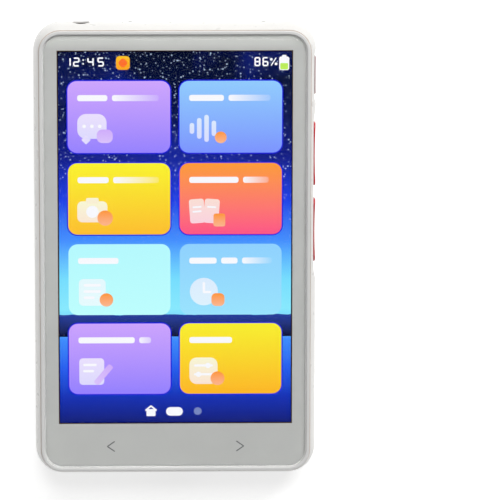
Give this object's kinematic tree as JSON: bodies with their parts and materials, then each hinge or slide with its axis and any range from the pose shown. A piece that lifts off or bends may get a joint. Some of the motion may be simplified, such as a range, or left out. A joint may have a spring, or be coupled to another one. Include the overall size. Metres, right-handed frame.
{
  "type": "handheld translator",
  "caption": "Pocket voice translator with a large touch display, bulging white shell, side keys, headphone socket and charging socket.",
  "frame": {"origin": "centre of the flat back, with the device lying on its back", "axes": "+Z out of the display, +Y towards the end with the headphone socket, +X towards the side with the keys"},
  "size_m": [0.062, 0.101, 0.012],
  "materials": {
    "white_shell": "satin moulded",
    "white_frame": "satin moulded",
    "seam_bead": "cured adhesive",
    "front_glass": "polished",
    "grey_print": "printed film",
    "tape": "foam tape",
    "sensor_glass": "clear",
    "display_glass": "lit display",
    "bright_steel": "plain",
    "flex_film": "polyimide",
    "dark_red_key": "satin",
    "red_key": "satin",
    "switch_plastic": "plain",
    "circuit_board": "solder mask",
    "black_plastic": "plain",
    "soft_rubber": "soft",
    "battery_foil": "foil pouch",
    "black_mesh": "fine woven",
    "ring_metal": "turned",
    "lens_glass": "polished",
    "lamp_plastic": "clear"
  },
  "bodies": {
    "root": {"rear_case": "white_shell", "front_frame": "white_frame", "seam_seal": "seam_bead", "cover_glass": "front_glass", "border_film": "grey_print", "glass_tape": "tape", "touch_sensor": "sensor_glass", "lcd_panel": "display_glass", "lcd_backlight": "bright_steel", "lcd_flex": "flex_film", "key_board": "circuit_board", "key_switches": "bright_steel", "headphone_jack": "black_plastic", "microphones": "bright_steel", "microphone_boots": "soft_rubber", "usb_c_shell": "bright_steel", "usb_c_insert": "black_plastic", "main_board": "circuit_board", "usb_board": "circuit_board", "processor_shield": "bright_steel", "radio_shield": "bright_steel", "board_chips": "black_plastic", "flex_connectors": "black_plastic", "board_ribbon": "flex_film", "battery_lead": "flex_film", "battery": "battery_foil", "battery_tape": "tape", "speaker": "black_plastic", "speaker_mesh": "black_mesh", "camera_module": "black_plastic", "camera_ring": "ring_metal", "camera_window": "lens_glass", "flash_led": "switch_plastic", "flash_window": "lamp_plastic", "case_screws": "bright_steel", "board_screws": "bright_steel", "wifi_antenna": "flex_film"},
    "power_key": {"power_key": "dark_red_key", "power_stem": "switch_plastic"},
    "talk_upper": {"talk_key_upper": "red_key", "talk_upper_stem": "switch_plastic"},
    "talk_lower": {"talk_key_lower": "red_key", "talk_lower_stem": "switch_plastic"}
  },
  "joints": [
    {"name": "power_key_press", "type": "slide", "parent": "root", "child": "power_key", "axis": [-1, 0, 0], "range_m": [0, 0.00025], "stiffness_N_per_m": 4000},
    {"name": "talk_upper_press", "type": "slide", "parent": "root", "child": "talk_upper", "axis": [-1, 0, 0], "range_m": [0, 0.00025], "stiffness_N_per_m": 4000},
    {"name": "talk_lower_press", "type": "slide", "parent": "root", "child": "talk_lower", "axis": [-1, 0, 0], "range_m": [0, 0.00025], "stiffness_N_per_m": 4000}
  ]
}
